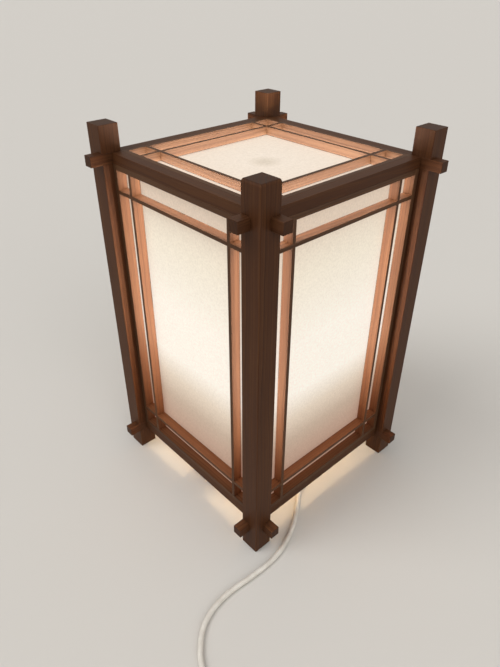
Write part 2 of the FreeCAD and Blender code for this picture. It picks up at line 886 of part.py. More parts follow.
def switch_shell(bottom, top, outer_level):
    """A shell between two heights, closed at outer_level and hollow towards the other."""
    body = switch_block(0, bottom, top)
    rim = [
        e
        for e in body.Edges
        if all(abs(v.Z - outer_level) < press_gap for v in e.Vertexes)
    ]
    body = body.makeFillet(switch_edge_round, rim)
    room_bottom = bottom + switch_wall if outer_level == bottom else bottom - overrun
    room_top = top - switch_wall if outer_level == top else top + overrun
    room = switch_block(switch_wall, room_bottom, room_top)
    nose_wall = switch_nose_width / 2 + switch_wall
    limit = switch_length / 2 - nose_wall
    room = room.common(
        block(
            (-limit, -switch_width, room_bottom - overrun),
            (limit, switch_width, room_top + overrun),
        )
    )
    return body.cut(room)


def rocker_profile():
    """The rocker's side view, level: two flats that fall from its ends to the middle. Its ends
    stand back from the window by as much as they swing out when it tips."""
    slope = math.tan(math.radians(rocker_tilt))
    half = window_length / 2 - moving_gap - (switch_height - rocker_pivot_height) * slope
    top = switch_height + rocker_rise
    dip = half * slope
    bottom = top - rocker_height
    hub = rocker_pin_radius * 2
    return [
        (-half, top),
        (0, top - dip),
        (half, top),
        (half - moving_gap, bottom + dip),
        (hub, rocker_pivot_height - hub),
        (-hub, rocker_pivot_height - hub),
        (-half + moving_gap, bottom + dip),
    ]


def to_cord(shape):
    """Turns and moves a piece of the switch to where the cord holds it."""
    shape.rotate(Vector(0, 0, 0), Vector(0, 0, 1), switch_angle)
    shape.translate(switch_centre)
    return shape


contact_strip = 0.8  # thickness
contact_strip_width = 5.0
contact_strip_length = 11.0
contact_strip_rise = 6.0


def switch_contact(sign):
    """A bent strip that stands on the base's floor, under one end of the rocker."""
    floor = switch_wall
    half = contact_strip_width / 2
    near, far = contact_strip_length / 4, contact_strip_length * 5 / 4
    x0, x1 = sorted((sign * near, sign * far))
    lying = block((x0, -half, floor), (x1, half, floor + contact_strip))
    x0, x1 = sorted((sign * near, sign * (near + contact_strip)))
    return lying.fuse(block((x0, -half, floor), (x1, half, floor + contact_strip_rise)))


def make_switch():
    base = switch_shell(0, switch_split, 0)
    cover = switch_shell(switch_split, switch_height, switch_height)
    half_l, half_w = window_length / 2, window_width / 2
    bearing_low = rocker_pivot_height - 2 * rocker_pin_radius
    for sign in (-1, 1):
        y0, y1 = sorted((sign * half_w, sign * (half_w + bearing_thickness)))
        cover = cover.fuse(
            block(
                (-2 * rocker_pin_radius, y0, bearing_low),
                (2 * rocker_pin_radius, y1, switch_height - switch_wall / 2),
            )
        )
    cover = cover.cut(block((-half_l, -half_w, switch_split), (half_l, half_w, switch_height + overrun)))
    pin_reach = half_w - moving_gap + rocker_pin_length
    for radius, reach, action in (
        (rocker_pin_radius + thread_gap, pin_reach + moving_gap, "bore"),
        (rocker_pin_radius, pin_reach, "pin"),
    ):
        rod = Part.makeCylinder(
            radius, 2 * reach, Vector(0, -reach, rocker_pivot_height), Vector(0, 1, 0)
        )
        if action == "bore":
            cover = cover.cut(rod)
        else:
            pins = rod
    width = half_w - moving_gap
    face = Part.Face(Part.Wire(polyline([Vector(x, -width, z) for x, z in rocker_profile()])))
    rocker = face.extrude(Vector(0, 2 * width, 0)).fuse(pins)
    rocker.rotate(Vector(0, 0, rocker_pivot_height), Vector(0, 1, 0), rocker_tilt)
    save(to_cord(base), "switch_base")
    save(to_cord(cover), "switch_cover")
    save(to_cord(group([switch_contact(-1), switch_contact(1)])), "switch_contacts")
    save(to_cord(rocker), "switch_rocker")
    axis = Vector(-math.sin(math.radians(switch_angle)), math.cos(math.radians(switch_angle)), 0)
    pivot = switch_centre + Vector(0, 0, rocker_pivot_height)
    print("rocker pivot", pivot, "axis", axis)


# Plug. A flat moulded body with a tapered nose for the cord and two round pins.

plug_width = 35.0
plug_thickness = 13.8
plug_length = 36.0
plug_shoulder_share = 0.45  # of its length, where the body starts to narrow
plug_nose_width = 12.0
plug_edge_round = 2.4
relief_length = 24.0
relief_root_diameter = 10.5
relief_end_diameter = 8.4
pin_spacing = 18.6
pin_diameter = 4.0
pin_length = 19.0
pin_root = 12.0  # how far a pin runs into the body

plug_axis_height = plug_thickness / 2


end_run = 14.0
end_turn = math.radians(-12.0)
end_turn_shares = (0.0, 0.3, 0.7, 1.0)
end_drop_shares = (0.0, 0.4, 0.6, 0.0)


def end_route(start, way):
    """The cord from the coil down to the plug, which lies on the floor."""
    points = [start]
    heading = math.atan2(way.y, way.x)
    for turn_share, drop_share in zip(end_turn_shares, end_drop_shares):
        angle = heading + end_turn * turn_share
        drop = (start.z - plug_axis_height) * drop_share
        step = Vector(end_run * math.cos(angle), end_run * math.sin(angle), -drop)
        points.append(points[-1] + step)
    return points


def make_plug(entry, way):
    """The plug, drawn along X from the cord's end at 0, then turned to the cord."""
    half_w, half_t = plug_width / 2, plug_thickness / 2
    nose = plug_nose_width / 2
    front = relief_length + plug_length
    shoulder = relief_length + plug_length * plug_shoulder_share
    points = [
        Vector(relief_length, -nose, -half_t),
        Vector(shoulder, -half_w, -half_t),
        Vector(front, -half_w, -half_t),
        Vector(front, half_w, -half_t),
        Vector(shoulder, half_w, -half_t),
        Vector(relief_length, nose, -half_t),
    ]
    body = Part.Face(Part.Wire(polyline(points))).extrude(Vector(0, 0, plug_thickness))
    front_edges = [e for e in body.Edges if all(v.X > front - press_gap for v in e.Vertexes)]
    sides = [e for e in body.Edges if not any(e.isSame(f) for f in front_edges)]
    sides = [e for e in sides if any(v.X > relief_length + press_gap for v in e.Vertexes)]
    body = body.makeFillet(plug_edge_round, sides)
    root = relief_root_diameter / 2
    outline = [(0, 0)]
    outline += relief_side(0, relief_end_diameter / 2, relief_length, root)
    outline += [(relief_length + plug_edge_round, root), (relief_length + plug_edge_round, 0)]
    relief = turned(polyline([Vector(x, radius, 0) for x, radius in outline]), Vector(1, 0, 0))
    body = body.fuse(relief)
    pins = []
    for sign in (-1, 1):
        y = sign * pin_spacing / 2
        seat = Vector(front - pin_root, y, 0)
        body = body.cut(
            Part.makeCylinder(pin_diameter / 2 + press_gap, pin_root + overrun, seat, Vector(1, 0, 0))
        )
        pin = Part.makeCylinder(pin_diameter / 2, pin_root + pin_length, seat, Vector(1, 0, 0))
        tip = [e for e in pin.Edges if e.Closed and e.Vertexes[0].X > front]
        pins.append(pin.makeChamfer(pin_diameter / 4, tip))
    angle = math.degrees(math.atan2(way.y, way.x))
    for shape, name in ((body, "plug_body"), (group(pins), "plug_pins")):
        shape.rotate(Vector(0, 0, 0), Vector(0, 0, 1), angle)
        shape.translate(entry)
        save(shape, name)
    print("plug entry", entry, "way", way)


def make_cord():
    save(free_stretch("cord", cord_route), "cord")
    save(free_stretch("cord_tail", tail_route), "cord_tail")
    coil_end, way = make_coil()
    route = end_route(coil_end, way)
    save(free_stretch("cord_end", route), "cord_end")
    print("coil centre", coil_centre(), "cord_end route", route)
    make_plug(route[-1], (route[-1] - route[-2]).normalize())


os.makedirs("parts", exist_ok=True)
make_posts()
make_beams()
make_screens()
make_support()
make_holder()
make_leads()
make_lamp()
make_grip()
make_cord()
make_tie()
make_switch()
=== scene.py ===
import bpy
import math
from mathutils import Matrix, Vector


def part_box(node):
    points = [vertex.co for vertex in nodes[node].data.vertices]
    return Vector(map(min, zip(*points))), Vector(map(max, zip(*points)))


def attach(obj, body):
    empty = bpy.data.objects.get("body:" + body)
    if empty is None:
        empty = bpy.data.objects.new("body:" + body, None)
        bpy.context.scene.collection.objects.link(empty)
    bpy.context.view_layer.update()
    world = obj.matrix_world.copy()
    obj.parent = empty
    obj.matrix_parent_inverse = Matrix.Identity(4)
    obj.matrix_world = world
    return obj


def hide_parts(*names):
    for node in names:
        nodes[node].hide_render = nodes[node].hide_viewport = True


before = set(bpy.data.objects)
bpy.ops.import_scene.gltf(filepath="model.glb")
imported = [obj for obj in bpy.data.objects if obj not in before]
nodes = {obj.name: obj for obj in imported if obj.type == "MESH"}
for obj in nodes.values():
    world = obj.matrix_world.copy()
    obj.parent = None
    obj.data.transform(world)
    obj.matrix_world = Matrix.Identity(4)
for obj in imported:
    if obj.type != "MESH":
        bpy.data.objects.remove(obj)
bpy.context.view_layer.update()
bpy.ops.object.select_all(action="DESELECT")

# Camera. A hand-held view over the front post, from about 0.62 m above the floor. Its lens, place
# and tilt were fitted to the corners of the posts and beams in the 500 by 667 picture.

camera_data = bpy.data.cameras.new("camera")
camera_data.sensor_fit = "AUTO"
camera_data.sensor_width = 36.0
camera_data.lens = 571.63 / 667 * camera_data.sensor_width
camera = bpy.data.objects.new("camera", camera_data)
bpy.context.collection.objects.link(camera)
pitch, heading, roll = math.radians(33.70), math.radians(47.21), math.radians(0.22)
ahead = Vector((-math.sin(heading), math.cos(heading), 0))
forward = math.cos(pitch) * ahead - math.sin(pitch) * Vector((0, 0, 1))
level = Vector((math.cos(heading), math.sin(heading), 0))
right = math.cos(roll) * level + math.sin(roll) * level.cross(forward)
turn = Matrix((right, right.cross(forward), -forward)).transposed()
camera.matrix_world = Matrix.Translation(Vector((0.4521, -0.4398, 0.6174))) @ turn.to_4x4()
bpy.context.scene.camera = camera
bpy.context.scene.view_settings.view_transform = "Standard"


# Cord. A round mains lead, two cores in white soft PVC, 6 mm across. It leaves the riser through its
# grip, drops to the floor and goes round the front post to the switch. Beyond that it is coiled.


def linear(hex_code):
    """An sRGB colour such as 'c08a5a' as a linear colour."""
    parts = [int(hex_code[i : i + 2], 16) / 255 for i in (0, 2, 4)]
    return tuple(c / 12.92 if c <= 0.04045 else ((c + 0.055) / 1.055) ** 2.4 for c in parts) + (1.0,)


def add(tree, kind, settings=None, stops=(), **inputs):
    """Adds a node with its settings. An input is given a value, a socket, or a node, which stands for
    its first output. in_2 is the input numbered 2. stops are a ramp's places and colours, in order."""
    node = tree.nodes.new("ShaderNode" + kind)
    for key, value in (settings or {}).items():
        setattr(node, key, value)
    for place, colour in stops[2:]:
        node.color_ramp.elements.new(place)
    for element, (place, colour) in zip(node.color_ramp.elements if stops else [], stops):
        element.position = place
        element.color = linear(colour)
    for key, value in inputs.items():
        socket = node.inputs[int(key[3:])] if key.startswith("in_") else node.inputs[key.replace("_", " ")]
        if isinstance(value, bpy.types.Node):
            value = value.outputs[0]
        if isinstance(value, bpy.types.NodeSocket):
            tree.links.new(value, socket)
        else:
            socket.default_value = value
    return node


def new_material(name):
    """An empty material and its node tree."""
    material = bpy.data.materials.new(name)
    material.use_nodes = True
    material.node_tree.nodes.clear()
    return material, material.node_tree


def finish_with(material, *pieces):
    """Gives some pieces one material, in place of what they came with."""
    for piece in pieces:
        piece.data.materials.clear()
        piece.data.materials.append(material)


# Soft PVC, extruded: even, a little dusty, with a dull shine.
cord_pvc, tree = new_material("soft_pvc_extruded")
place = add(tree, "TexCoord").outputs["Object"]
dust = add(tree, "TexNoise", Vector=place, Scale=90.0, Detail=5.0)
grain = add(tree, "TexNoise", Vector=place, Scale=1400.0, Detail=2.0)
surface = add(
    tree,
    "BsdfPrincipled",
    Base_Color=add(tree, "ValToRGB", stops=[(0.3, "cdc6bb"), (0.7, "dfdad1")], Fac=dust),
    Roughness=add(tree, "MapRange", Value=dust, From_Min=0.3, From_Max=0.7, To_Min=0.38, To_Max=0.55),
    Normal=add(tree, "Bump", Strength=0.12, Distance=0.0002, Height=grain),
)
add(tree, "OutputMaterial", Surface=surface)

cord_width = 0.006
lamp_route = [
    (0.0440, 0.0, 0.0480),
    (0.0600, 0.0, 0.0480),
    (0.0750, -0.0024, 0.0420),
    (0.0860, -0.0074, 0.0298),
    (0.0950, -0.0144, 0.0174),
    (0.1038, -0.0236, 0.0084),
    (0.1134, -0.0354, 0.0038),
    (0.1265, -0.0530, 0.0030),
    (0.1425, -0.0755, 0.0030),
    (0.1580, -0.1130, 0.0030),
    (0.1600, -0.1510, 0.0030),
    (0.1540, -0.2040, 0.0030),
    (0.1630, -0.2410, 0.0030),
    (0.1865, -0.2650, 0.0031),
    (0.2065, -0.2752, 0.0038),
    (0.2225, -0.2818, 0.0070),
    (0.2385, -0.2876, 0.0070),
]
tail_route = [
    (0.2949, -0.3081, 0.0070),
    (0.3118, -0.3143, 0.0070),
    (0.3243, -0.3272, 0.0059),
    (0.3314, -0.3491, 0.0045),
    (0.3282, -0.3719, 0.00385),
]
coil_radius, coil_pitch, coil_dip, coil_height = 0.044, 0.00675, 0.0011, 0.0037
coil_low_turns, coil_high_turns, coil_start = 3.0, 2.75, math.radians(-8.0)
coil_middle = Vector((0.2837932, -0.3717180, 0))
coil_inner = coil_radius - coil_pitch * coil_low_turns


def coil_point(turns):
    """The coil's middle line: a spiral in, a climb of half a turn and a spiral out."""
    climb = min(max((turns - coil_low_turns) / 0.5, 0), 1)
    if turns < coil_low_turns:
        radius = coil_radius - coil_pitch * turns
    elif climb < 1:
        radius = coil_inner - coil_dip * math.sin(math.pi * climb)
    else:
        radius = coil_inner + coil_pitch * (turns - coil_low_turns - 0.5)
    angle = coil_start - 2 * math.pi * turns
    height = coil_height + coil_pitch * climb**2 * (3 - 2 * climb)
    return coil_middle + Vector((radius * math.cos(angle), radius * math.sin(angle), height))


points_a_turn = 20
coil_steps = round((coil_low_turns + 0.5 + coil_high_turns) * points_a_turn)
coil_route = [tuple(coil_point(step / points_a_turn)) for step in range(coil_steps + 1)]
end_route = [
    (0.258099, -0.410835, 0.01045),
    (0.244385, -0.408020, 0.00903),
    (0.230955, -0.404067, 0.00690),
    (0.217799, -0.399279, 0.00690),
]


def flex(name, points):
    """A round cord on one smooth line through a route's bends."""
    line = bpy.data.curves.new(name, "CURVE")
    line.dimensions = "3D"
    line.bevel_depth = cord_width / 2
    line.bevel_resolution = 5
    line.resolution_u = 6
    line.use_fill_caps = True
    spline = line.splines.new("NURBS")
    spline.points.add(len(points) - 1)
    for point, where in zip(spline.points, points):
        point.co = (*where, 1.0)
    spline.order_u = 3
    spline.use_endpoint_u = True
    piece = bpy.data.objects.new(name, line)
    bpy.context.collection.objects.link(piece)
    line.materials.append(cord_pvc)
    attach(piece, "lantern")
    return piece


lamp_cord = flex("lamp_cord", lamp_route)
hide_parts("cord")
plug_cord = flex("plug_cord", tail_route + coil_route + end_route)
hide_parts("cord_tail", "cord_coil", "cord_end")


# Posts and beams. Planed Japanese cedar, stained brown and rubbed with oil. The beams are halved over
# each other inside pockets of the posts and glued. Each piece is cut from its own part of the board.


def planed_wood(name, axis, pith, ring_mm, pale, middling, dark):
    """Planed wood in three tones. Its grain runs along an axis and its rings go round the pith."""
    material, tree = new_material(name)
    place = add(tree, "TexCoord")
    off_pith = add(tree, "VectorMath", {"operation": "SUBTRACT"}, in_0=place.outputs["Object"], in_1=pith)
    turns = {"X": (0, math.pi / 2, 0), "Y": (math.pi / 2, 0, 0), "Z": (0, 0, 0)}
    along_z = add(tree, "Mapping", Vector=off_pith, Rotation=turns[axis])

    # The tree's crooked growth: the rings wander by some millimetres over a hand's length.
    slow = add(tree, "Mapping", Vector=along_z, Scale=(26.0, 26.0, 4.0))
    wander = add(tree, "TexNoise", Vector=slow, Scale=1.0, Detail=3.0, Roughness=0.55).outputs["Color"]
    wander = add(tree, "VectorMath", {"operation": "SUBTRACT"}, in_0=wander, in_1=(0.5, 0.5, 0.5))
    sway = (0.012, 0.012, 0.0)
    bent = add(tree, "VectorMath", {"operation": "MULTIPLY_ADD"}, in_0=wander, in_1=sway, in_2=along_z)
    across = add(tree, "VectorMath", {"operation": "MULTIPLY"}, in_0=bent, in_1=(1.0, 1.0, 0.0))
    radius = add(tree, "VectorMath", {"operation": "LENGTH"}, in_0=across).outputs["Value"]

    # Years of uneven width, each with pale early wood and a darker late edge of its own strength.
    years = add(tree, "Math", {"operation": "DIVIDE"}, in_0=radius, in_1=ring_mm / 1000)
    weather = add(tree, "TexNoise", {"noise_dimensions": "1D"}, W=years, Scale=0.45, Detail=2.0)
    years = add(tree, "Math", {"operation": "MULTIPLY_ADD"}, in_0=weather, in_1=3.2, in_2=years)
    year = add(tree, "Math", {"operation": "FLOOR"}, in_0=years)
    season = add(tree, "Math", {"operation": "FRACT"}, in_0=years)
    hard = add(tree, "TexWhiteNoise", {"noise_dimensions": "1D"}, W=year)
    hard = add(tree, "MapRange", Value=hard, To_Min=0.3, To_Max=1.0)
    soft_step = {"interpolation_type": "SMOOTHSTEP"}
    late = add(tree, "MapRange", soft_step, Value=season, From_Min=0.3, From_Max=0.92)
    late = add(tree, "Math", {"operation": "MULTIPLY"}, in_0=late, in_1=hard)

    # Fibres 0.4 mm across and 20 mm long, and clouds where the wood took more or less stain or oil.
    threads = add(tree, "Mapping", Vector=along_z, Scale=(2500.0, 2500.0, 50.0))
    fibre = add(tree, "TexNoise", Vector=threads, Scale=1.0, Detail=4.0, Roughness=0.6)
    patches = add(tree, "Mapping", Vector=along_z, Scale=(45.0, 45.0, 9.0))
    cloud = add(tree, "TexNoise", Vector=patches, Scale=1.0, Detail=4.0)
    tone = add(tree, "Math", {"operation": "MULTIPLY"}, in_0=late, in_1=0.42)
    tone = add(tree, "Math", {"operation": "MULTIPLY_ADD"}, in_0=fibre, in_1=0.34, in_2=tone)
    tone = add(tree, "Math", {"operation": "MULTIPLY_ADD"}, in_0=cloud, in_1=0.42, in_2=tone)
    colour = add(tree, "ValToRGB", stops=[(0.25, pale), (0.5, middling), (0.95, dark)], Fac=tone)

    # End grain soaks up more than the sides and is darker.
    along = {"X": (1, 0, 0), "Y": (0, 1, 0), "Z": (0, 0, 1)}[axis]
    facing = add(tree, "VectorMath", {"operation": "DOT_PRODUCT"}, in_0=place.outputs["Normal"], in_1=along)
    facing = add(tree, "Math", {"operation": "ABSOLUTE"}, in_0=facing.outputs["Value"])
    soaked = add(tree, "MapRange", Value=facing, From_Min=0.75, From_Max=0.95, To_Min=1.0, To_Max=0.7)
    colour = add(tree, "VectorMath", {"operation": "SCALE"}, in_0=colour, Scale=soaked.outputs[0])
    surface = add(
        tree,
        "BsdfPrincipled",
        Base_Color=colour,
        Roughness=add(tree, "MapRange", Value=tone, From_Min=0.3, From_Max=0.9, To_Min=0.56, To_Max=0.42),
        IOR=1.5,
        Specular_IOR_Level=0.12,
        Normal=add(tree, "Bump", Strength=0.3, Distance=0.0002, Height=tone),
    )
    add(tree, "OutputMaterial", Surface=surface)
    return material


def pick(piece, axis, place, reach):
    """Selects those vertices of a piece in edit mode that lie within reach of a place on an axis."""
    bpy.ops.mesh.select_mode(type="VERT")
    bpy.ops.mesh.select_all(action="DESELECT")
    bpy.ops.object.mode_set(mode="OBJECT")
    for vertex in piece.data.vertices:
        vertex.select = abs(vertex.co[axis] - place) < reach
    bpy.ops.object.mode_set(mode="EDIT")


def ease_edges(name, material, width, spread):
    """Stands a copy of a wooden piece in its place, with its sharp edges planed off by a width. Before
    that, what lies within reach of a place on an axis is spread from there by a factor."""
    piece = bpy.data.objects.new(name + "_wood", nodes[name].data.copy())
    bpy.context.collection.objects.link(piece)
    bpy.ops.object.select_all(action="DESELECT")
    piece.select_set(True)
    bpy.context.view_layer.objects.active = piece
    bpy.ops.mesh.customdata_custom_splitnormals_clear()
    bpy.ops.object.mode_set(mode="EDIT")
    for axis, place, reach, factor in spread:
        pick(piece, axis, place, reach)
        pivot, scale = [0.0, 0.0, 0.0], [1.0, 1.0, 1.0]
        pivot[axis], scale[axis] = place, factor
        bpy.ops.transform.resize(value=scale, center_override=pivot)
    bpy.ops.mesh.select_all(action="SELECT")
    bpy.ops.mesh.remove_doubles(threshold=0.000002)
    bpy.ops.mesh.dissolve_limited(angle_limit=math.radians(1.0))
    bpy.ops.object.mode_set(mode="OBJECT")
    bpy.ops.object.shade_smooth()
    plane = piece.modifiers.new("plane", "BEVEL")
    plane.width = width
    plane.segments = 2
    plane.limit_method = "ANGLE"
    plane.angle_limit = math.radians(25.0)
    plane.harden_normals = True
    bpy.ops.object.modifier_apply(modifier="plane")
    finish_with(material, piece)
    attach(piece, "lantern")
    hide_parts(name)
    lit_wood.objects.link(piece)
    return piece


lit_wood = bpy.data.collections.new("lit_wood")
frame_stain = ("54351e", "452816", "2f1a0d")
frame_ease = 0.0004
pith_off = Vector((0.046, 0.029, 0.037))


def board(name, axis, ring_mm, stain, quarter):
    """The wood of one piece, with its pith outside the piece, on a side that each quarter changes."""
    low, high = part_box(name)
    side = Matrix.Rotation(math.radians(90.0 * quarter + 12.0), 3, axis)
    return planed_wood(f"cedar_{name}", axis, tuple((low + high) / 2 + side @ pith_off), ring_mm, *stain)


def squared(name, sides):
    """The spread that draws the chamfers round some sides of a piece out to sharp edges."""
    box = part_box(name)
    return [(axis, box[end][axis], chamfer_reach, 0.0) for axis, end in sides]


# The front post is squared on its two inner sides only. Its outer top edges are worn round.
chamfer_reach = 0.00082
all_sides = [(axis, end) for axis in (0, 1, 2) for end in (0, 1)]
inner_sides = [(0, 0), (1, 1)]
for quarter, corner in enumerate(("front", "right", "back", "left")):
    name = f"post_{corner}"
    sharp = squared(name, inner_sides if corner == "front" else all_sides)
    ease_edges(name, board(name, "Z", 2.1, frame_stain, quarter), frame_ease, sharp)
faces = (("front_left", "X"), ("front_right", "Y"), ("back_right", "X"), ("back_left", "Y"))
for quarter, level_name in enumerate(("lower", "upper")):
    for k, (face, axis) in enumerate(faces):
        name = f"{level_name}_beam_{face}"
        wood = board(name, axis, 2.3, frame_stain, quarter + k)
        ease_edges(name, wood, frame_ease, squared(name, all_sides))


# Screens. Thin strips of the same cedar, planed on all sides. The rails are tenoned into the stiles
# and the bars are halved over each other, with a fine line at each joint where the edges are eased.

strip_stain = ("5c412c", "4e3423", "3a2619")
strip_ease = 0.0002
strip_pith = (0.21, 0.17, 0.13)
strip_wood = {
    axis: planed_wood(f"cedar_strips_{axis.lower()}", axis, strip_pith, 1.6, *strip_stain)
    for axis in "XYZ"
}


def broader(axis, *places):
    """The spread that brings the thin bars at some places, and the laps for them, to their breadth."""
    return [(axis, place, bar_reach, bar_breadth / solid_breadth) for place in places]


bar_reach, bar_breadth, solid_breadth = 0.002, 0.0043, 0.003
bar_side, bar_low, bar_high = 0.0815, 0.073, 0.392
for face, across in faces:
    bars = broader("XYZ".index(across), -bar_side, bar_side) + broader(2, bar_low, bar_high)
    ease_edges(f"{face}_stiles", strip_wood["Z"], strip_ease, [])
    ease_edges(f"{face}_rails", strip_wood[across], strip_ease, [])
    ease_edges(f"{face}_uprights", strip_wood["Z"], strip_ease, bars)
    ease_edges(f"{face}_crossbars", strip_wood[across], strip_ease, bars)
bars = broader(0, -bar_side, bar_side) + broader(1, -bar_side, bar_side)
level_screen = [
    ease_edges("top_stiles", strip_wood["Y"], strip_ease, []),
    ease_edges("top_rails", strip_wood["X"], strip_ease, []),
    ease_edges("top_uprights", strip_wood["Y"], strip_ease, bars),
    ease_edges("top_crossbars", strip_wood["X"], strip_ease, bars),
]

# The level screen is planed 2 mm thinner than the upright ones, off its underside.
level_screen_rise, level_screen_foot, foot_reach = 0.002, 0.423, 0.0006
for piece in level_screen:
    bpy.ops.object.select_all(action="DESELECT")
    piece.select_set(True)
    bpy.context.view_layer.objects.active = piece
    bpy.ops.object.mode_set(mode="EDIT")
    pick(piece, 2, level_screen_foot, foot_reach)
    bpy.ops.transform.translate(value=(0, 0, level_screen_rise))
    bpy.ops.object.mode_set(mode="OBJECT")


# Paper. Machine-made washi of mulberry fibre, glued to the backs of the screens. Its glow from the lamp
# behind is painted on as emission: brightest level with the globe, dimmer and warmer towards the foot and
# the head.


def washi(name, stops, measure, low, high):
    """Paper with a painted glow, an emission that changes from a low to a high value, in metres, of its
    height or its radius.
    """
    material, tree = new_material(name)
    place = add(tree, "TexCoord").outputs["Object"]
    if measure == "height":
        measured = add(tree, "SeparateXYZ", Vector=place).outputs["Z"]
    else:
        flat = add(tree, "VectorMath", {"operation": "MULTIPLY"}, in_0=place, in_1=(1.0, 1.0, 0.0))
        measured = add(tree, "VectorMath", {"operation": "LENGTH"}, in_0=flat).outputs["Value"]
    share = add(tree, "MapRange", Value=measured, From_Min=low, From_Max=high)
    pulp = add(tree, "TexNoise", Vector=place, Scale=420.0, Detail=5.0, Roughness=0.6)
    drift = add(tree, "TexNoise", Vector=place, Scale=60.0, Detail=2.0).outputs["Color"]
    lean = (0.02, 0.02, 0.02)
    curl = add(tree, "VectorMath", {"operation": "MULTIPLY_ADD"}, in_0=drift, in_1=lean, in_2=place)
    strand = add(tree, "TexVoronoi", {"feature": "DISTANCE_TO_EDGE"}, Vector=curl, Scale=130.0)
    strand = add(tree, "MapRange", Value=strand, From_Min=0.0, From_Max=0.05, To_Min=0.95, To_Max=1.0)
    mottle = add(tree, "MapRange", Value=pulp, From_Min=0.3, From_Max=0.7, To_Min=0.93, To_Max=1.05)
    thick = add(tree, "Math", {"operation": "MULTIPLY"}, in_0=mottle, in_1=strand)
    # The painted glow, in the stops' colours by height or radius.
    glow = add(tree, "ValToRGB", stops=stops, Fac=share)
    glow = add(tree, "VectorMath", {"operation": "SCALE"}, in_0=glow, Scale=thick.outputs[0])
    surface = add(
        tree,
        "BsdfPrincipled",
        Base_Color=add(tree, "ValToRGB", stops=[(0.3, "a29685"), (0.7, "aea392")], Fac=pulp),
        Roughness=0.9,
        Normal=add(tree, "Bump", Strength=0.2, Distance=0.0002, Height=thick),
        Emission_Color=glow,
        Emission_Strength=1.0,
    )
    add(tree, "OutputMaterial", Surface=surface)
    return material


glow_foot, glow_head = 0.042, 0.423
# The painted glow of the upright sheets from foot to head, with painted shade low down and brightest level
# with the globe.
side_painted_glow = [
    (0.0, "6f4232"),
    (0.14, "785042"),
    (0.21, "826a5c"),
    (0.30, "aea092"),
    (0.40, "d2cfc8"),
    (0.58, "d2cfc8"),
    (0.80, "c3bdaf"),
    (1.0, "a59688"),
]
side_paper = washi("washi_sides", side_painted_glow, "height", glow_foot, glow_head)
finish_with(side_paper, *[nodes[f"{face}_paper"] for face, across in faces])

# The level sheet's painted glow is even, but for a painted shadow of the globe's tip in its middle.
top_paper = bpy.data.objects.new("top_paper_sheet", nodes["top_paper"].data.copy())
bpy.context.collection.objects.link(top_paper)
top_paper.data.transform(Matrix.Translation((0, 0, level_screen_rise)))
top_painted_glow = [(0.0, "9f958a"), (0.055, "a79d92"), (0.15, "bcb2a9"), (1.0, "b8ab9f")]
finish_with(washi("washi_top", top_painted_glow, "radius", 0.0, 0.14), top_paper)
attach(top_paper, "lantern")
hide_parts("top_paper")


def paper_light(name, facing, power, glow, rise=0.0):
    """A soft light of a sheet's size, just in front of it, for its glow on the wood round it."""
    low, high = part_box(name)
    size = high - low
    data = bpy.data.lights.new(name + "_light", "AREA")
    data.shape = "RECTANGLE"
    data.size = max(size.x, size.y)
    data.size_y = size.z if facing.z == 0 else min(size.x, size.y)
    data.energy = power * data.size * data.size_y
    data.use_nodes = True
    tree = data.node_tree
    tree.nodes.clear()
    here = add(tree, "NewGeometry").outputs["Position"]
    height = add(tree, "SeparateXYZ", Vector=here).outputs["Z"]
    share = add(tree, "MapRange", Value=height, From_Min=glow_foot, From_Max=glow_head)
    colour = add(tree, "ValToRGB", stops=glow, Fac=share)
    add(tree, "OutputLight", Surface=add(tree, "Emission", Color=colour))
    light = bpy.data.objects.new(name + "_light", data)
    bpy.context.collection.objects.link(light)
    middle = (low + high) / 2 + facing * (min(size) / 2 + light_gap + rise)
    turned = (-facing).to_track_quat("Z", "Y").to_matrix()
    light.matrix_world = Matrix.Translation(middle) @ turned.to_4x4()
    light.visible_camera = False
    light.visible_glossy = False
    light.light_linking.receiver_collection = lit_wood


light_gap = 0.0003
side_light = [(0.0, "4e321d"), (0.14, "7f593f"), (0.3, "d3b198"), (0.45, "ffe6d3"), (1.0, "ffe6d3")]
paper_light("front_left_paper", Vector((0, -1, 0)), 50.0, side_light)
paper_light("front_right_paper", Vector((1, 0, 0)), 50.0, side_light)
paper_light("back_right_paper", Vector((0, 1, 0)), 50.0, side_light)
paper_light("back_left_paper", Vector((-1, 0, 0)), 50.0, side_light)
top_light = [(0.0, "fffaf4"), (1.0, "fffaf4")]
paper_light("top_paper", Vector((0, 0, 1)), 58.0, top_light, level_screen_rise)


# Cross bar and riser. Plain planed pine, unstained: a bar tenoned into two lower beams and a block on
# it, bored for the leads. They carry the lamp holder on four screws.

pine = ("d9b88b", "cda877", "b0875a")
for name, axis, pith in (("riser", "Z", (0.043, 0.031, 0.0)), ("cross_bar", "Y", (0.031, 0.0, -0.038))):
    finish_with(planed_wood(f"pine_{name}", axis, pith, 3.0, *pine), nodes[name])

# Zinc-plated steel, rolled and turned: bright, with a faint blue-grey haze.
zinc, tree = new_material("zinc_plated_steel")
place = add(tree, "TexCoord").outputs["Object"]
haze = add(tree, "TexNoise", Vector=place, Scale=700.0, Detail=4.0)
surface = add(
    tree,
    "BsdfPrincipled",
    Base_Color=add(tree, "ValToRGB", stops=[(0.3, "a9abae"), (0.7, "c9cacb")], Fac=haze),
    Metallic=1.0,
    Roughness=add(tree, "MapRange", Value=haze, To_Min=0.22, To_Max=0.42),
    Normal=add(tree, "Bump", Strength=0.1, Distance=0.0001, Height=haze),
)
add(tree, "OutputMaterial", Surface=surface)
finish_with(zinc, nodes["wood_screws"])


# Lamp holder. A moulded urea body with a brass sleeve and a sprung brass contact, fixed to the riser
# with two screws. Two insulated leads come up to it through the riser.


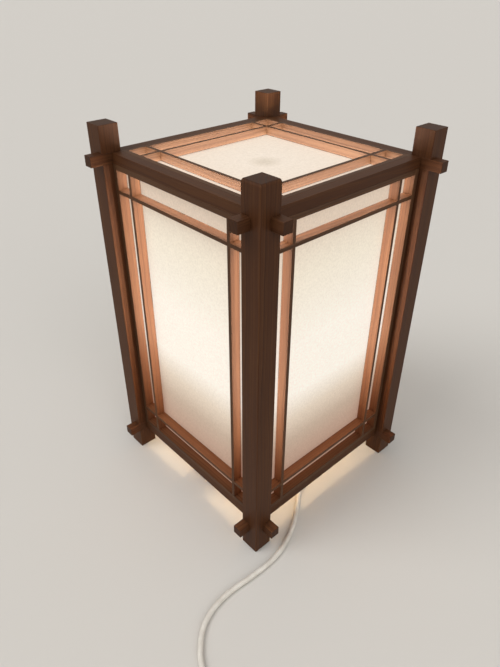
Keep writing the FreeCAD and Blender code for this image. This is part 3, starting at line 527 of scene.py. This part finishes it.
def moulded(name, pale, deep, roughness):
    """A moulded plastic: nearly even, with a faint orange-peel skin of 0.6 mm."""
    material, tree = new_material(name)
    place = add(tree, "TexCoord").outputs["Object"]
    skin = add(tree, "TexNoise", Vector=place, Scale=1000 / 0.6, Detail=3.0)
    shade = add(tree, "TexNoise", Vector=place, Scale=60.0, Detail=3.0)
    surface = add(
        tree,
        "BsdfPrincipled",
        Base_Color=add(tree, "ValToRGB", stops=[(0.3, deep), (0.7, pale)], Fac=shade),
        Roughness=add(tree, "MapRange", Value=shade, To_Min=roughness, To_Max=roughness + 0.12),
        Normal=add(tree, "Bump", Strength=0.08, Distance=0.0001, Height=skin),
    )
    add(tree, "OutputMaterial", Surface=surface)
    return material


# Brass, drawn and pressed: yellow, slightly tarnished in patches.
brass, tree = new_material("brass_drawn")
place = add(tree, "TexCoord").outputs["Object"]
tarnish = add(tree, "TexNoise", Vector=place, Scale=160.0, Detail=5.0)
surface = add(
    tree,
    "BsdfPrincipled",
    Base_Color=add(tree, "ValToRGB", stops=[(0.3, "b8935a"), (0.7, "d9b878")], Fac=tarnish),
    Metallic=1.0,
    Roughness=add(tree, "MapRange", Value=tarnish, To_Min=0.2, To_Max=0.42),
)
add(tree, "OutputMaterial", Surface=surface)
holder_finish = {
    "holder_body": moulded("urea_moulded", "efeae0", "e2dccf", 0.35),
    "holder_leads": moulded("lead_pvc_blue", "3f6fa8", "35608f", 0.45),
    "holder_sleeve": brass,
    "holder_contact": brass,
}
for name, material in holder_finish.items():
    finish_with(material, nodes[name])


# Lamp. A compact lamp with a nickel-plated screw cap, a white PBT housing over its gear and an opal
# glass globe that glows warm white. It stands in the holder and is reached through the open foot.

# Nickel-plated brass, pressed from sheet: bright, with a faint warm haze.
nickel, tree = new_material("nickel_plated")
place = add(tree, "TexCoord").outputs["Object"]
haze = add(tree, "TexNoise", Vector=place, Scale=300.0, Detail=4.0)
# The cap's rolled thread, 3.6 mm from crest to crest.
up_bands = {"wave_type": "BANDS", "bands_direction": "Z"}
thread = add(tree, "TexWave", up_bands, Vector=place, Scale=0.314 / 0.0036)
surface = add(
    tree,
    "BsdfPrincipled",
    Base_Color=add(tree, "ValToRGB", stops=[(0.3, "b9b7b0"), (0.7, "d4d2cc")], Fac=haze),
    Metallic=1.0,
    Roughness=add(tree, "MapRange", Value=haze, To_Min=0.18, To_Max=0.35),
    Normal=add(tree, "Bump", Strength=0.6, Distance=0.0006, Height=thread),
)
add(tree, "OutputMaterial", Surface=surface)

# Opal glass, blown and lit from within: a little warmer towards its foot.
opal, tree = new_material("opal_glass_lit")
place = add(tree, "TexCoord").outputs["Object"]
height = add(tree, "SeparateXYZ", Vector=place).outputs["Z"]
share = add(tree, "MapRange", Value=height, From_Min=0.168, From_Max=0.234)
globe_glow = [(0.0, "ffd9a3"), (0.35, "ffe6bd"), (1.0, "ffe2b4")]
surface = add(
    tree,
    "BsdfPrincipled",
    Base_Color=linear("f6efe0"),
    Roughness=0.3,
    Emission_Color=add(tree, "ValToRGB", stops=globe_glow, Fac=share),
    Emission_Strength=45.0,
)
add(tree, "OutputMaterial", Surface=surface)
lamp_finish = {
    "bulb_contact": brass,
    "bulb_cap": nickel,
    "bulb_housing": moulded("pbt_moulded_white", "f1efe9", "e6e3da", 0.32),
    "bulb_globe": opal,
}
for name, material in lamp_finish.items():
    finish_with(material, nodes[name])


# Fittings on the cord. White moulded pieces: a ringed grip in the riser's side, a rocker switch in
# two shells, and a flat plug with two nickel-plated pins. A black woven tie holds the spare cord.

abs_white = moulded("abs_moulded_white", "e6e3dc", "dad6cd", 0.34)
soft_white = moulded("soft_pvc_moulded", "dedad2", "cfcac0", 0.46)
cord_finish = {
    "cord_grip": soft_white,
    "switch_base": abs_white,
    "switch_cover": abs_white,
    "switch_rocker": abs_white,
    "switch_contacts": brass,
    "coil_tie": moulded("nylon_woven_black", "2a2927", "1d1c1b", 0.6),
    "plug_body": soft_white,
    "plug_pins": nickel,
}
for name, material in cord_finish.items():
    finish_with(material, nodes[name])


# Floor and light. A plain pale floor out to beyond the view, under an even sky that looks as pale as
# the floor, with one broad key light from the front left and a weaker one from the right.

bpy.ops.mesh.primitive_plane_add(size=2, location=(0, 0, 0))
floor = bpy.context.object
floor.name = "floor"
floor.scale = (60, 60, 1)
floor_paint, tree = new_material("floor_paint")
add(tree, "OutputMaterial", Surface=add(tree, "BsdfPrincipled", Base_Color=linear("cfcbc5"), Roughness=0.8))
floor.data.materials.append(floor_paint)

world = bpy.data.worlds.new("world")
bpy.context.scene.world = world
world.use_nodes = True
tree = world.node_tree
tree.nodes.clear()
ray = add(tree, "LightPath").outputs
seen = add(tree, "Math", in_0=ray["Is Camera Ray"], in_1=ray["Is Glossy Ray"])
seen = add(tree, "Math", in_0=seen, in_1=ray["Is Transmission Ray"])
sky = add(tree, "Background", Color=linear("fbfaf8"), Strength=0.55)
backdrop = add(tree, "Background", Color=linear("d5d1cb"), Strength=1.0)
add(tree, "OutputWorld", Surface=add(tree, "MixShader", in_0=seen, in_1=sky, in_2=backdrop))


def broad_light(name, toward, strength, width_degrees):
    """A distant light that comes from a direction and looks as wide as an angle."""
    data = bpy.data.lights.new(name, "SUN")
    data.energy = strength
    data.angle = math.radians(width_degrees)
    light = bpy.data.objects.new(name, data)
    bpy.context.collection.objects.link(light)
    light.matrix_world = Vector(toward).to_track_quat("Z", "Y").to_matrix().to_4x4()


broad_light("key", (-0.25, -0.60, 0.80), 1.3, 35.0)
broad_light("fill", (0.80, -0.25, 0.60), 0.9, 50.0)
